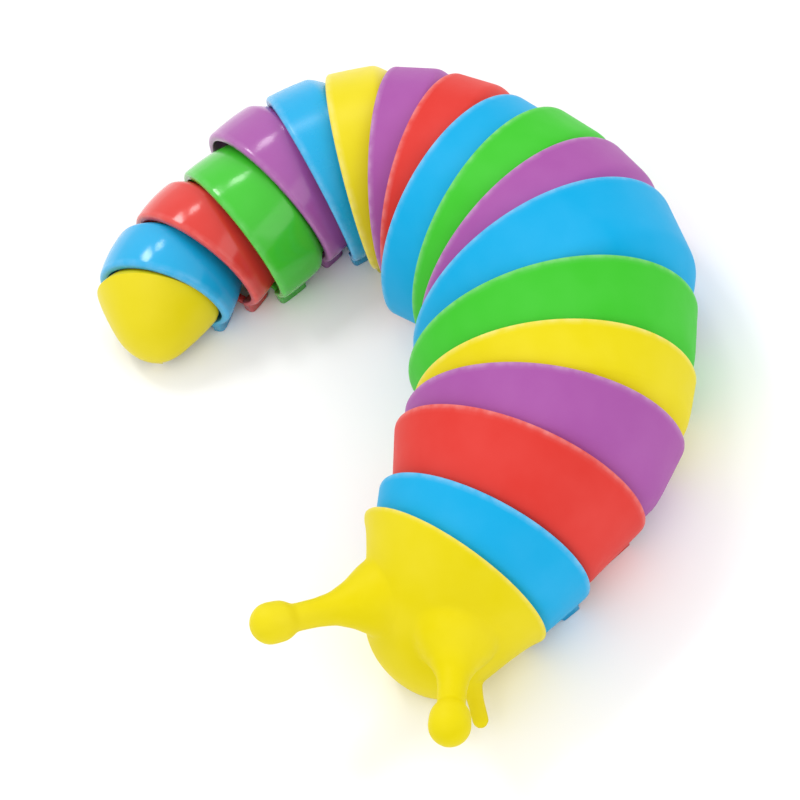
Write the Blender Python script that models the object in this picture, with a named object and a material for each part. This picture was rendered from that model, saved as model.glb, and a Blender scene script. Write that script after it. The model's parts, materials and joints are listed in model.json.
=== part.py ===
"""Articulated fidget slug: a head, seventeen nested rings and a tail on a belly hinge chain.

Every ring is an open-bellied arch.  Its front nests inside the rear rim of the ring ahead, and
it turns about a vertical hinge pin that stands a little behind its own rear rim.  The nested
front is a surface of revolution about that pin, so neighbouring rings keep the same gap at any
bend.  Sizes are in millimetres and are scaled to metres once, at the end.

Each ring is drawn in its own frame: the pin axis at the origin, +X towards the head, +Z up.
"""
import math

import bmesh
import bpy
from mathutils import Matrix, Vector

MM = 0.001

RINGS = 17                 # rings between the head and the tail
WIDEST_RING = 6
WIDEST_RADIUS = 19.4
NECK_SPAN = 8.6            # rings over which the neck would close to a point
TAIL_TAPER = 10.0          # radius lost between the widest ring and the last
TAPER_POWER = 1.05
CENTRE_RATIO = 0.56        # height of an arch's centre over its radius
BELLY_RATIO = 0.78         # half width of an arch at its lower edge over its radius

PITCH = 5.6                # shortest distance between neighbouring pins
STRETCHES = (0.6, 3.9, 1.3, 0.0, 1.9, 3.1, 0.0, 0.8, 0.7,
             0.0, 0.0, 0.5, 0.1, 0.5, 1.3, 0.4, 0.8)   # added to it, link by link
TAIL_PITCH = 2.6           # the last pin stands closer, under the tail cone

WALL = 1.1
SHELL_GAP = 0.45
RIM_AHEAD = 2.6            # a ring's rear rim stands this far ahead of its pin
TAIL_BULGE = 0.3           # how far the last ring's skin swells beyond a straight taper
BULGE_FROM = 11
SWING = math.radians(17.0) # the most a joint bends either way from straight
OVERLAP = math.radians(4.0)
EDGE_Z = 1.8               # lower edge of the arches
FRONT_EDGE_Z = 6.4         # lower edge of a nested front, above the hinge chain

WING_TOP = 1.4             # belly bar that carries each ring
WING_LENGTH = 1.2
LINK_BOTTOM = 1.7          # middle layer: the boss a pin is pressed into
LINK_TOP = 3.0
EYE_BOTTOM = 3.4           # upper layer: the eye that turns round the pin
EYE_TOP = 4.9
LINK_HALF_WIDTH = 1.5
BOSS_RADIUS = 2.0
EYE_RADIUS = 2.2
RISER_FRONT = 2.6
RISER_BACK = 3.35
SPINE_BACK = 0.7
PIN_RADIUS = 1.0
PIN_FIT = 0.1              # radial clearance round a pin
PIN_FOOT = 1.75
HEAD_GAP = 0.15
PIN_HEAD_RADIUS = 1.8
PIN_HEAD_HEIGHT = 0.85
TAIL_PIN_RADIUS = 0.8
TAIL_FLANGE_RADIUS = 1.3
TAIL_EYE_RADIUS = 1.6
TAIL_BOSS_RADIUS = 1.5

HEAD_HEADING = -122.5      # degrees from +X, the way the head looks at rest
REST_BENDS = (7.6, 4.7, 13.9, 12.5, 8.9, 16.7, 12.8, 10.0, 0.6,
              15.0, 15.2, 16.7, 16.7, 16.7, -5.5, 16.7, 16.7, 8.0)

COLOURS = {
    "yellow": (0.88, 0.78, 0.01),
    "blue": (0.01, 0.42, 0.83),
    "red": (0.74, 0.05, 0.03),
    "purple": (0.40, 0.10, 0.35),
    "green": (0.09, 0.60, 0.05),
    "pin": (0.80, 0.80, 0.78),
}
RING_COLOURS = ("blue", "red", "purple", "yellow", "green", "blue", "purple", "green", "blue",
                "red", "purple", "yellow", "blue", "purple", "green", "red", "blue")

ARCH_STEPS = 16
ARCH_STATIONS = 5
PIN_SIDES = 14


def wanted_radius(k):
    """Radius of rim k before the nesting is taken into account."""
    if k <= WIDEST_RING:
        return WIDEST_RADIUS * math.sqrt(1.0 - ((WIDEST_RING - k) / NECK_SPAN) ** 2)
    return WIDEST_RADIUS - TAIL_TAPER * ((k - WIDEST_RING) / (RINGS - WIDEST_RING)) ** TAPER_POWER


def pitch(k):
    """Distance from pin k to pin k + 1."""
    if k == RINGS:
        return TAIL_PITCH
    return PITCH + STRETCHES[k]


def nest_radius(k, radii):
    """Radius about pin k of the surface that nests inside rim k - 1."""
    reach = pitch(k - 1) + RIM_AHEAD
    return math.hypot(reach, radii[k - 1] - WALL) - SHELL_GAP


def rim_radii():
    """Outer radius of every rear rim, from the head to the last ring."""
    radii = [wanted_radius(0)]
    for k in range(1, RINGS + 1):
        nest = nest_radius(k, radii)
        radii.append(min(wanted_radius(k), math.sqrt(nest ** 2 - RIM_AHEAD ** 2)))
    return radii


RIMS = rim_radii()


def centre_height(k):
    """Height of the centre of rim k."""
    return CENTRE_RATIO * RIMS[max(k, WIDEST_RING)]


def lower_squash(k):
    """Lower half of section k: its depth over its half width."""
    drop = centre_height(k) - EDGE_Z
    return drop / (RIMS[k] * math.sqrt(1.0 - BELLY_RATIO ** 2))


def gauge(y, z, k):
    """Distance of (y, z) from the centre of section k, as if its lower half were round."""
    rise = z - centre_height(k)
    if rise < 0.0:
        rise /= lower_squash(k)
    return math.hypot(y, rise)


def cone_radius(k, x):
    """Radius of ring k's tapering skin: its rim at the back, just under rim k - 1 in front."""
    reach = pitch(k - 1) + RIM_AHEAD
    front = RIMS[k - 1] - WALL - SHELL_GAP
    share = min(1.0, max(0.0, (x - RIM_AHEAD) / (reach - RIM_AHEAD)))
    bulge = TAIL_BULGE * max(0.0, (k - BULGE_FROM) / (RINGS - BULGE_FROM))
    return RIMS[k] + (front - RIMS[k]) * share + 4.0 * bulge * share * (1.0 - share)


def inside_shell(k, x, y, z, inset):
    """True when the point lies inside ring k's surface moved in by inset."""
    if gauge(y, z, k) > cone_radius(k, x) - inset:
        return False
    return math.hypot(x, gauge(y, z, k - 1)) <= nest_radius(k, RIMS) - inset


def shell_point(k, x, angle, inset):
    """Point of ring k's surface at station x, in the direction angle from the centre."""
    cos_a = math.cos(angle)
    sin_a = math.sin(angle)
    base = centre_height(k)
    near = 0.0
    far = 2.0 * RIMS[k]
    for _ in range(40):
        middle = 0.5 * (near + far)
        if inside_shell(k, x, middle * cos_a, base + middle * sin_a, inset):
            near = middle
        else:
            far = middle
    return Vector((x, near * cos_a, base + near * sin_a))


def edge_height(k, x):
    """Height of the arch's lower edge at station x: it rises to clear the hinge chain."""
    start = 4.6 + 0.5 * (RIMS[k] - 9.0)
    rise = min(1.0, max(0.0, (x - start) / 3.0))
    return EDGE_Z + rise * (FRONT_EDGE_Z - EDGE_Z)


def edge_angle(k, x, inset):
    """Direction from the centre to the lower edge at station x, on the left side."""
    low = -0.5 * math.pi
    high = 0.5 * math.pi
    for _ in range(40):
        middle = 0.5 * (low + high)
        if shell_point(k, x, middle, inset).z < edge_height(k, x):
            low = middle
        else:
            high = middle
    return high


def front_station(k):
    """Station of a ring's front edge: still under the rim ahead at full bend."""
    rim_angle = math.atan2(RIMS[k - 1] - WALL, pitch(k - 1) + RIM_AHEAD)
    return nest_radius(k, RIMS) * math.cos(rim_angle - SWING - OVERLAP)


def arch_row(k, x, inset):
    """Points over the arch at one station, from its left lower edge to its right one."""
    start = edge_angle(k, x, inset)
    sweep = math.pi - 2.0 * start
    row = []
    for i in range(ARCH_STEPS + 1):
        row.append(shell_point(k, x, start + sweep * i / ARCH_STEPS, inset))
    return row


def skin_faces(bm, rows, flip):
    """Quads between neighbouring rows of vertices."""
    for i in range(len(rows) - 1):
        for j in range(len(rows[i]) - 1):
            quad = [rows[i][j], rows[i][j + 1], rows[i + 1][j + 1], rows[i + 1][j]]
            if flip:
                quad.reverse()
            bm.faces.new(quad)


def loop_rows(bm, rows):
    """Vertices for rows of points."""
    return [[bm.verts.new(point) for point in row] for row in rows]


def ring_shell(k):
    """Mesh of ring k's arch."""
    front = front_station(k)
    stations = [RIM_AHEAD + (front - RIM_AHEAD) * i / (ARCH_STATIONS - 1)
                for i in range(ARCH_STATIONS)]
    bm = bmesh.new()
    outer = loop_rows(bm, [arch_row(k, x, 0.0) for x in stations])
    inner = loop_rows(bm, [arch_row(k, x, WALL) for x in stations])
    skin_faces(bm, outer, False)
    skin_faces(bm, inner, True)
    skin_faces(bm, [inner[0], outer[0]], False)
    skin_faces(bm, [outer[-1], inner[-1]], False)
    left = [[row[0] for row in outer], [row[0] for row in inner]]
    right = [[row[-1] for row in outer], [row[-1] for row in inner]]
    skin_faces(bm, left, False)
    skin_faces(bm, right, True)
    bmesh.ops.recalc_face_normals(bm, faces=bm.faces)
    return finish_mesh(bm, "arch_%02d" % k)


def finish_mesh(bm, name):
    """Mesh data from a bmesh, scaled to metres."""
    bmesh.ops.scale(bm, vec=(MM, MM, MM), verts=bm.verts)
    mesh = bpy.data.meshes.new(name)
    bm.to_mesh(mesh)
    bm.free()
    return mesh


def box_mesh(name, low, high):
    """Box between two corners."""
    bm = bmesh.new()
    bmesh.ops.create_cube(bm, size=1.0)
    for vert in bm.verts:
        for axis in range(3):
            vert.co[axis] = high[axis] if vert.co[axis] > 0.0 else low[axis]
    return finish_mesh(bm, name)


def disc_mesh(name, x, radius, low, high, sides=PIN_SIDES):
    """Upright cylinder about (x, 0)."""
    bm = bmesh.new()
    bmesh.ops.create_cone(bm, cap_ends=True, segments=sides, radius1=radius, radius2=radius,
                          depth=high - low)
    bmesh.ops.translate(bm, vec=(x, 0.0, 0.5 * (low + high)), verts=bm.verts)
    return finish_mesh(bm, name)


def lathe_mesh(name, profile, sides=PIN_SIDES):
    """Solid turned about the vertical axis from (radius, height) pairs, bottom to top."""
    bm = bmesh.new()
    rows = []
    for radius, height in profile:
        row = []
        for i in range(sides):
            turn = 2.0 * math.pi * i / sides
            row.append(bm.verts.new((radius * math.cos(turn), radius * math.sin(turn), height)))
        rows.append(row)
    bm.faces.new(list(reversed(rows[0])))
    bm.faces.new(rows[-1])
    for i in range(len(rows) - 1):
        for j in range(sides):
            nxt = (j + 1) % sides
            bm.faces.new((rows[i][j], rows[i][nxt], rows[i + 1][nxt], rows[i + 1][j]))
    return finish_mesh(bm, name)


def add_object(name, mesh):
    """Object in the scene for a mesh."""
    obj = bpy.data.objects.new(name, mesh)
    bpy.context.scene.collection.objects.link(obj)
    return obj


def helper(name, mesh, frame):
    """Hidden object used only by a Boolean modifier."""
    obj = add_object(name, mesh)
    obj.hide_render = True
    obj.display_type = "WIRE"
    obj.matrix_world = frame
    return obj


def boolean(obj, tool, operation, solver):
    """Boolean modifier that joins or cuts with a tool."""
    modifier = obj.modifiers.new(operation.lower() + "_" + tool.name, "BOOLEAN")
    modifier.operation = operation
    modifier.solver = solver
    modifier.object = tool


def plastic(name, colour):
    """Principled material for one piece."""
    material = bpy.data.materials.new(name)
    material.use_nodes = True
    shader = material.node_tree.nodes["Principled BSDF"]
    shader.inputs["Base Color"].default_value = (*COLOURS[colour], 1.0)
    shader.inputs["Roughness"].default_value = 0.35
    return material


def body_frames():
    """Frame of every link at rest: the head, then each ring, then the tail."""
    heading = math.radians(HEAD_HEADING)
    pin = Vector((0.0, 0.0, 0.0))
    frames = [Matrix.Translation(pin) @ Matrix.Rotation(heading, 4, "Z")]
    for k in range(1, RINGS + 2):
        back = Vector((math.cos(heading), math.sin(heading), 0.0)) * pitch(k - 1)
        pin = pin - back * MM
        heading += math.radians(REST_BENDS[k - 1])
        frames.append(Matrix.Translation(pin) @ Matrix.Rotation(heading, 4, "Z"))
    return frames


def add_helpers(obj, meshes, operation, frame, solver="EXACT"):
    """Join or cut a list of meshes."""
    for mesh in meshes:
        boolean(obj, helper(mesh.name, mesh, frame), operation, solver)


def belly_bar(k):
    """Cross bar under ring k and the posts that carry the arch."""
    tag = "_%02d" % k
    half = shell_point(k, RIM_AHEAD + WING_LENGTH, edge_angle(k, RIM_AHEAD, 0.0), 0.0).y - 0.05
    front = RIM_AHEAD + WING_LENGTH
    bars = [box_mesh("bar" + tag, (RIM_AHEAD, -half, 0.0), (front, half, WING_TOP))]
    for side, name in ((1, "left"), (-1, "right")):
        ys = sorted((side * (half - 0.75), side * half))
        low = (RIM_AHEAD, ys[0], 0.5)
        bars.append(box_mesh("post_" + name + tag, low, (front, ys[1], EDGE_Z + 0.2)))
    return bars


def link_meshes(k):
    """Middle of ring k's belly chain: spine, boss, riser and the eye round the next pin."""
    tag = "_%02d" % k
    half = LINK_HALF_WIDTH
    meshes = [
        box_mesh("spine" + tag, (-SPINE_BACK, -half, 0.0), (RIM_AHEAD + 0.5, half, WING_TOP)),
        box_mesh("neck" + tag, (-SPINE_BACK, -half, 0.5), (0.0, half, LINK_TOP - 0.2)),
        disc_mesh("boss" + tag, 0.0, BOSS_RADIUS, LINK_BOTTOM, LINK_TOP),
        box_mesh("bridge" + tag, (0.0, -half, 0.5), (SPINE_BACK, half, LINK_TOP - 0.2)),
    ]
    if k == RINGS:
        meshes.append(box_mesh("tongue" + tag, (-TAIL_PITCH, -1.2, LINK_BOTTOM),
                               (0.0, 1.2, LINK_TOP)))
        meshes.append(disc_mesh("tail_boss" + tag, -TAIL_PITCH, TAIL_BOSS_RADIUS, LINK_BOTTOM,
                                LINK_TOP))
        return meshes
    meshes += rear_eye(k, tag)
    return meshes


def rear_eye(k, tag):
    """Riser behind link k's boss and its eye round pin k + 1."""
    reach = pitch(k)
    half = LINK_HALF_WIDTH
    back = RISER_BACK + reach - PITCH
    return [
        box_mesh("tongue" + tag, (-back, -half, LINK_BOTTOM), (0.0, half, LINK_TOP)),
        box_mesh("riser" + tag, (-back, -half, LINK_BOTTOM), (-RISER_FRONT, half, EYE_TOP)),
        box_mesh("arm" + tag, (-reach, -half, EYE_BOTTOM), (-RISER_FRONT, half, EYE_TOP)),
        disc_mesh("eye" + tag, -reach, EYE_RADIUS, EYE_BOTTOM, EYE_TOP),
    ]


def link_holes(k):
    """Holes for the pins that link k holds and turns round."""
    tag = "_%02d" % k
    holes = []
    if k > 0:
        holes.append(disc_mesh("pin_hole" + tag, 0.0, PIN_RADIUS + PIN_FIT, PIN_FOOT,
                               LINK_TOP + 1.0))
    if k == RINGS:
        holes.append(disc_mesh("tail_pin_hole" + tag, -TAIL_PITCH, TAIL_PIN_RADIUS + PIN_FIT,
                               0.5, EYE_BOTTOM))
        return holes
    holes.append(disc_mesh("eye_hole" + tag, -pitch(k), PIN_RADIUS + PIN_FIT, EYE_BOTTOM - 0.3,
                           EYE_TOP + 0.5))
    return holes


def build_ring(k, frame):
    """One ring with its belly chain."""
    obj = add_object("ring_%02d" % k, ring_shell(k))
    obj.matrix_world = frame
    add_helpers(obj, belly_bar(k) + link_meshes(k), "UNION", frame)
    add_helpers(obj, link_holes(k), "DIFFERENCE", frame)
    obj.data.materials.append(plastic("ring_%02d" % k, RING_COLOURS[k - 1]))
    return obj


def build_pin(k, frame):
    """Hinge pin k: a headed pin pressed into ring k."""
    if k == RINGS + 1:
        profile = ((TAIL_FLANGE_RADIUS, 0.1), (TAIL_FLANGE_RADIUS, 0.45),
                   (TAIL_PIN_RADIUS, 0.45), (TAIL_PIN_RADIUS, LINK_TOP))
    else:
        under = EYE_TOP + HEAD_GAP
        top = under + PIN_HEAD_HEIGHT
        profile = ((PIN_RADIUS, PIN_FOOT + 0.05), (PIN_RADIUS, under), (PIN_HEAD_RADIUS, under),
                   (PIN_HEAD_RADIUS, top - 0.3), (PIN_HEAD_RADIUS - 0.5, top))
    obj = add_object("hinge_pin_%02d" % k, lathe_mesh("hinge_pin_%02d" % k, profile))
    obj.matrix_world = frame
    obj.data.materials.append(plastic("hinge_pin_%02d" % k, "pin"))
    return obj


def section_loop(centre, half_width, up, down, steps):
    """Closed section across X: round above its centre, a different depth below."""
    points = []
    for i in range(steps):
        turn = 2.0 * math.pi * i / steps
        height = up if math.sin(turn) > 0.0 else down
        points.append(Vector((centre[0], centre[1] + half_width * math.cos(turn),
                              centre[2] + height * math.sin(turn))))
    return points


def loft(bm, loops):
    """Closed solid through a list of loops."""
    rows = loop_rows(bm, loops)
    count = len(rows[0])
    bm.faces.new(rows[0])
    bm.faces.new(list(reversed(rows[-1])))
    for i in range(len(rows) - 1):
        for j in range(count):
            nxt = (j + 1) % count
            bm.faces.new((rows[i][j], rows[i + 1][j], rows[i + 1][nxt], rows[i][nxt]))


def tube(bm, points, radii, sides=12):
    """Closed round tube through points, with a radius at each."""
    loops = []
    for i, point in enumerate(points):
        ahead = points[min(i + 1, len(points) - 1)]
        behind = points[max(i - 1, 0)]
        along = (ahead - behind).normalized()
        side = along.cross(Vector((0.0, 0.0, 1.0))).normalized()
        over = side.cross(along)
        loop = []
        for j in range(sides):
            turn = 2.0 * math.pi * j / sides
            loop.append(point + radii[i] * (side * math.cos(turn) + over * math.sin(turn)))
        loops.append(loop)
    loft(bm, loops)


def ball(bm, centre, radius):
    """Round ball."""
    bmesh.ops.create_uvsphere(bm, u_segments=16, v_segments=10, radius=radius,
                              matrix=Matrix.Translation(centre))


SKULL_LENGTH = 13.6        # from the head's rear rim to the tip of the snout
SNOUT_DROP = 5.0           # height of the snout's centre
STALK_ROOT = Vector((9.8, 5.6, 12.2))
STALK_TIPS = {1: Vector((21.0, 13.2, 15.4)), -1: Vector((21.5, -13.4, 17.8))}
STALK_SHARES = (0.0, 0.15, 0.3, 0.45, 0.6, 0.78, 0.9, 1.0)
STALK_RADII = (4.6, 3.8, 2.8, 2.1, 1.85, 1.75, 1.75, 1.9)
EYE_BALL = 2.6
FEELER_ROOT = Vector((9.5, 5.0, 5.4))
FEELER_TIPS = {1: Vector((14.9, 10.6, 2.6)), -1: Vector((14.6, -6.4, 1.9))}
FEELER_SHARES = (0.0, 0.35, 0.7, 1.0)
FEELER_RADII = (2.6, 1.5, 1.1, 1.1)


def skull_loops(steps=32, stations=14):
    """Sections of the skull from behind its rear rim to the snout."""
    loops = []
    base = centre_height(0)
    for i in range(-1, stations):
        along = max(0.0, i / (stations - 1))
        run = math.sin(0.5 * math.pi * along)
        x = RIM_AHEAD + SKULL_LENGTH * run - (1.5 if i < 0 else 0.0)
        close = math.sqrt(max(0.0, 1.0 - run ** 8))
        width = (RIMS[0] - 7.0 * run ** 0.75) * close
        middle = base * (1.0 - run) + SNOUT_DROP * run
        crown = middle + (base + RIMS[0] - 14.0 * run ** 1.12 - middle) * close
        down = (middle + 2.0) * max(close, 0.15)
        up = max(0.6, crown - middle)
        loops.append(section_loop((x, 0.0, middle), max(width, 0.6), up, down, steps))
    return loops


def mirrored(point, side):
    """Point on the left (1) or right (-1) side."""
    return Vector((point.x, point.y * side, point.z))


def head_form():
    """Rough joined form of the head before it is blended."""
    bm = bmesh.new()
    loft(bm, skull_loops())
    for side in (1, -1):
        root = mirrored(STALK_ROOT, side)
        tip = STALK_TIPS[side]
        tube(bm, [root.lerp(tip, share) for share in STALK_SHARES], STALK_RADII)
        ball(bm, tip, EYE_BALL)
        ball(bm, tip.lerp(root, 0.05), EYE_BALL - 0.1)
        root = mirrored(FEELER_ROOT, side)
        tip = FEELER_TIPS[side]
        tube(bm, [root.lerp(tip, share) for share in FEELER_SHARES], FEELER_RADII)
        ball(bm, tip, FEELER_RADII[-1])
    bmesh.ops.recalc_face_normals(bm, faces=bm.faces)
    return finish_mesh(bm, "head")


def nest_cutter():
    """Hollow behind the head: the space ring 1 swings in."""
    bm = bmesh.new()
    bmesh.ops.create_uvsphere(bm, u_segments=32, v_segments=20,
                              radius=nest_radius(1, RIMS) + SHELL_GAP)
    base = centre_height(0)
    for vert in bm.verts:
        if vert.co.z < 0.0:
            vert.co.z *= lower_squash(0)
        vert.co.x -= pitch(0)
        vert.co.z += base
    return finish_mesh(bm, "head_hollow")


def build_head(frame):
    """Head with its stalks, feelers, rear hollow and the first eye."""
    obj = add_object("head", head_form())
    obj.matrix_world = frame
    remesh = obj.modifiers.new("blend", "REMESH")
    remesh.mode = "VOXEL"
    remesh.voxel_size = 0.55 * MM
    smooth = obj.modifiers.new("soften", "SMOOTH")
    smooth.factor = 0.5
    smooth.iterations = 6
    thin = obj.modifiers.new("lighten", "DECIMATE")
    thin.ratio = 0.12
    cuts = [
        box_mesh("head_floor", (-20.0, -30.0, -20.0), (40.0, 30.0, 0.0)),
        box_mesh("head_back", (-20.0, -30.0, -5.0), (RIM_AHEAD, 30.0, 40.0)),
        nest_cutter(),
        box_mesh("head_bay", (0.0, -4.0, EYE_BOTTOM - 0.5), (10.0, 4.0, 9.0)),
    ]
    add_helpers(obj, cuts, "DIFFERENCE", frame)
    joins = rear_eye(0, "_00")
    joins.append(box_mesh("root_00", (-RISER_FRONT, -LINK_HALF_WIDTH, LINK_BOTTOM),
                          (RIM_AHEAD + 8.5, LINK_HALF_WIDTH, LINK_TOP)))
    add_helpers(obj, joins, "UNION", frame)
    add_helpers(obj, link_holes(0), "DIFFERENCE", frame)
    obj.data.materials.append(plastic("head", "yellow"))
    return obj


TAIL_LENGTH = 8.4          # from the last ring's rim to the tip
TAIL_TIP_RADIUS = 3.1
TAIL_TIP_Z = 3.7
TAIL_BAY_BACK = 1.9        # the belly is open from here forward, round the last pin
TAIL_WALL = 1.0


def tail_loops(inset, steps=24):
    """Sections of the tail from its nested front to the tip, in pin 18's frame."""
    reach = TAIL_PITCH + RIM_AHEAD
    nest = math.hypot(reach, RIMS[RINGS] - WALL) - SHELL_GAP - inset
    rim_angle = math.atan2(RIMS[RINGS] - WALL, reach)
    front = nest * math.cos(rim_angle - SWING - OVERLAP)
    base = centre_height(RINGS)
    squash = lower_squash(RINGS)
    loops = []
    for i in range(5):
        x = front + (reach - 0.6 - front) * i / 4
        radius = math.sqrt(nest ** 2 - x ** 2)
        loops.append(section_loop((x, 0.0, base), radius, radius, radius * squash, steps))
    start = math.sqrt(nest ** 2 - (reach - 0.6) ** 2)
    tip = TAIL_TIP_RADIUS - 0.6 * inset
    length = TAIL_LENGTH - 0.6 - 1.1 * inset
    for i in range(1, 7):
        run = i / 6
        x = reach - 0.6 - length * math.sin(0.5 * math.pi * run)
        run = math.sin(0.5 * math.pi * run)
        radius = (start + (tip - start) * run ** 1.15) * math.sqrt(max(0.02, 1.0 - run ** 9))
        middle = base + (TAIL_TIP_Z - base) * run
        loops.append(section_loop((x, 0.0, middle), radius, radius, radius * squash * 1.15, steps))
    return loops


def build_tail(frame):
    """Hollow tail cone with its belly plate and hinge eye."""
    bm = bmesh.new()
    loft(bm, tail_loops(0.0))
    bmesh.ops.recalc_face_normals(bm, faces=bm.faces)
    obj = add_object("tail", finish_mesh(bm, "tail"))
    obj.matrix_world = frame
    bm = bmesh.new()
    loops = tail_loops(TAIL_WALL)
    loops.insert(0, [point + Vector((3.0, 0.0, 0.0)) for point in loops[0]])
    loft(bm, loops)
    bmesh.ops.recalc_face_normals(bm, faces=bm.faces)
    hollow = finish_mesh(bm, "tail_hollow")
    cuts = [
        hollow,
        box_mesh("tail_floor", (-20.0, -20.0, -20.0), (20.0, 20.0, 0.6)),
        box_mesh("tail_belly", (-TAIL_BAY_BACK, -20.0, -20.0), (20.0, 20.0, EDGE_Z)),
        box_mesh("tail_front", (5.2, -20.0, -5.0), (20.0, 20.0, FRONT_EDGE_Z)),
        box_mesh("tail_channel", (4.3, -5.7, -5.0), (20.0, 5.7, FRONT_EDGE_Z)),
        box_mesh("tail_bay", (-TAIL_BAY_BACK, -2.1, -5.0), (20.0, 2.1, LINK_TOP + 0.4)),
    ]
    add_helpers(obj, cuts, "DIFFERENCE", frame, "MANIFOLD")
    joins = [
        box_mesh("tail_heel", (-2.8, -1.2, 0.62), (-2.1, 1.2, EDGE_Z + 0.9)),
        box_mesh("tail_plate", (-2.6, -1.15, 0.64), (-0.6, 1.15, WING_TOP - 0.02)),
        disc_mesh("tail_eye", 0.0, TAIL_EYE_RADIUS, 0.6, WING_TOP, 20),
    ]
    add_helpers(obj, joins, "UNION", frame, "MANIFOLD")
    hole = disc_mesh("tail_eye_hole", 0.0, TAIL_PIN_RADIUS + PIN_FIT, 0.2, WING_TOP + 0.5)
    add_helpers(obj, [hole], "DIFFERENCE", frame, "MANIFOLD")
    obj.data.materials.append(plastic("tail", "yellow"))
    return obj


def clear_scene():
    """Remove whatever the scene holds."""
    for obj in list(bpy.data.objects):
        bpy.data.objects.remove(obj, do_unlink=True)


def centre_on_floor():
    """Move everything so the slug's bounding box stands centred over the origin."""
    depsgraph = bpy.context.evaluated_depsgraph_get()
    low = Vector((math.inf,) * 3)
    high = -low
    for obj in bpy.data.objects:
        if obj.hide_render:
            continue
        mesh = obj.evaluated_get(depsgraph).to_mesh()
        for vert in mesh.vertices:
            point = obj.matrix_world @ vert.co
            for axis in range(3):
                low[axis] = min(low[axis], point[axis])
                high[axis] = max(high[axis], point[axis])
    shift = Vector((-0.5 * (low.x + high.x), -0.5 * (low.y + high.y), -low.z))
    for obj in bpy.data.objects:
        obj.matrix_world = Matrix.Translation(shift) @ obj.matrix_world


def main():
    """Build the slug."""
    clear_scene()
    frames = body_frames()
    build_head(frames[0])
    for k in range(1, RINGS + 1):
        build_ring(k, frames[k])
    build_tail(frames[-1])
    for k in range(1, RINGS + 2):
        build_pin(k, frames[k])
    centre_on_floor()


main()
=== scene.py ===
"""Studio view of an articulated fidget slug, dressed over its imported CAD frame.

Lengths are in millimetres in each link's own frame: the hinge pin at the origin, +X towards
the head, +Z up.  They are scaled to metres when an object is made.
"""

import json
import math

import bmesh
import bpy
from mathutils import Matrix, Vector


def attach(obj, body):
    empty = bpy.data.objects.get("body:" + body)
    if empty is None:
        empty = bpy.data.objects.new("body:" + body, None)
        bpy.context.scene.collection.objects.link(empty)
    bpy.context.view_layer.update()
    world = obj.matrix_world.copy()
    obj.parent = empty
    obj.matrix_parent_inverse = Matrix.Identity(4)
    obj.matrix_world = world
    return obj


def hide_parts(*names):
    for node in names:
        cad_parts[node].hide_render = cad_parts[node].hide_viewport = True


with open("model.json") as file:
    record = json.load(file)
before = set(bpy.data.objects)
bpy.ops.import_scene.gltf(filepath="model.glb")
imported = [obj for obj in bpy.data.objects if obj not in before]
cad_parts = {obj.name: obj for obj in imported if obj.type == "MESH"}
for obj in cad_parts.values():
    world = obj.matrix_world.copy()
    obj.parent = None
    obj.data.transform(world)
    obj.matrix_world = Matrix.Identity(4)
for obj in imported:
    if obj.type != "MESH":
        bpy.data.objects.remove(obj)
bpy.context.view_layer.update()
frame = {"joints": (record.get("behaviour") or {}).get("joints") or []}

MM = 0.001

# ---------------------------------------------------------------- the slug's own measures
RINGS = 17
WIDEST_RING = 6
WIDEST_RADIUS = 19.4
NECK_SPAN = 8.6
TAIL_TAPER = 10.0
TAPER_POWER = 1.05
CENTRE_RATIO = 0.56
BELLY_RATIO = 0.78
PITCH = 5.6
STRETCHES = (0.6, 3.9, 1.3, 0.0, 1.9, 3.1, 0.0, 0.8, 0.7,
             0.0, 0.0, 0.5, 0.1, 0.5, 1.3, 0.4, 0.8)
TAIL_PITCH = 2.6
WALL = 1.1
SHELL_GAP = 0.45
SNUG = 0.3                 # the fine shells close this much of the gap between rings
SKIRT_Z = 0.06             # the shells' sides reach down to here beside the belly bar
SKIRT_CLEAR = 0.25         # distance kept from the next ring's cross bar at full swing
SKIRT_RISE = 0.35
SKIRT_LIP = 0.02           # least depth of the side below the arch
SKIRT_STEP = 0.4
SKIRT_COVER = 0.05         # the sides reach at least this far past their own cross bar
RIM_AHEAD = 2.6
TAIL_BULGE = 0.3
BULGE_FROM = 11
SWING = math.radians(17.0)
OVERLAP = math.radians(4.0)
EDGE_Z = 1.8
FRONT_EDGE_Z = 6.4
HEAD_HEADING = math.radians(-122.5)
TAIL_BEND = math.radians(8.0)

RING_COLOURS = ("blue", "red", "purple", "yellow", "green", "blue", "purple", "green", "blue",
                "red", "purple", "yellow", "blue", "purple", "green", "red", "blue")
BASE_COLOURS = {
    "yellow": (0.73, 0.61, 0.0),
    "blue": (0.0, 0.37, 0.69),
    "red": (0.66, 0.036, 0.026),
    "purple": (0.355, 0.085, 0.345),
    "green": (0.045, 0.51, 0.022),
    "pin": (0.80, 0.80, 0.78),
}


def wanted_radius(k):
    """Radius of rim k before the nesting is taken into account."""
    if k <= WIDEST_RING:
        return WIDEST_RADIUS * math.sqrt(1.0 - ((WIDEST_RING - k) / NECK_SPAN) ** 2)
    return WIDEST_RADIUS - TAIL_TAPER * ((k - WIDEST_RING) / (RINGS - WIDEST_RING)) ** TAPER_POWER


def pitch(k):
    """Distance from pin k to pin k + 1."""
    if k == RINGS:
        return TAIL_PITCH
    return PITCH + STRETCHES[k]


def nest_radius(k, radii):
    """Radius about pin k of the surface that nests inside rim k - 1."""
    return math.hypot(pitch(k - 1) + RIM_AHEAD, radii[k - 1] - WALL) - SHELL_GAP


def rim_radii():
    """Outer radius of every rear rim, from the head to the last ring."""
    radii = [wanted_radius(0)]
    for k in range(1, RINGS + 1):
        limit = math.sqrt(nest_radius(k, radii) ** 2 - RIM_AHEAD ** 2)
        radii.append(min(wanted_radius(k), limit))
    return radii


RIMS = rim_radii()


def centre_height(k):
    """Height of the centre of rim k."""
    return CENTRE_RATIO * RIMS[max(k, WIDEST_RING)]


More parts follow.
